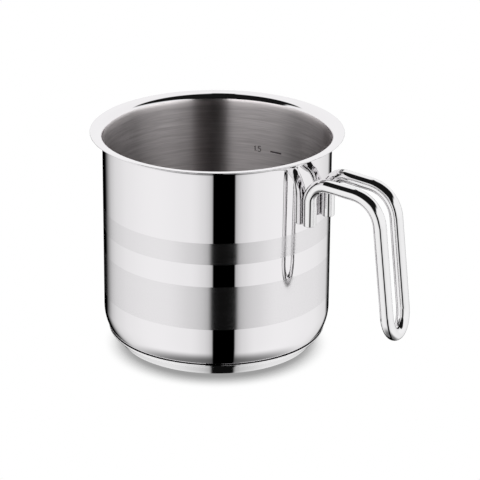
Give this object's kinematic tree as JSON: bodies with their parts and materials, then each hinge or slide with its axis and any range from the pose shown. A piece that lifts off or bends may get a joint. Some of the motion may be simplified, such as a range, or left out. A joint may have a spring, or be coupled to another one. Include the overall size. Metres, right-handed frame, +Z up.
{
  "type": "milk pan",
  "caption": "Deep round stainless steel milk pan with a flared pouring rim, a capsule base and a long hairpin rod handle.",
  "frame": {"origin": "centre of the flat resting face under the base, on the pan's axis", "axes": "+Z up along the pan's axis, +X from the axis towards the handle, +Y completing a right-handed frame"},
  "size_m": [0.2148, 0.1584, 0.1386],
  "materials": {
    "pan_steel": "mirror polished outside with two satin bands, brushed round inside, polished rim",
    "core_aluminium": "plain rolled",
    "base_steel": "polished side, resting face turned in fine rings",
    "handle_steel": "mirror polished stainless steel"
  },
  "bodies": {
    "root": {"pan_body": "pan_steel", "base_core": "core_aluminium", "base_cap": "base_steel", "handle_rod": "handle_steel"}
  },
  "joints": []
}
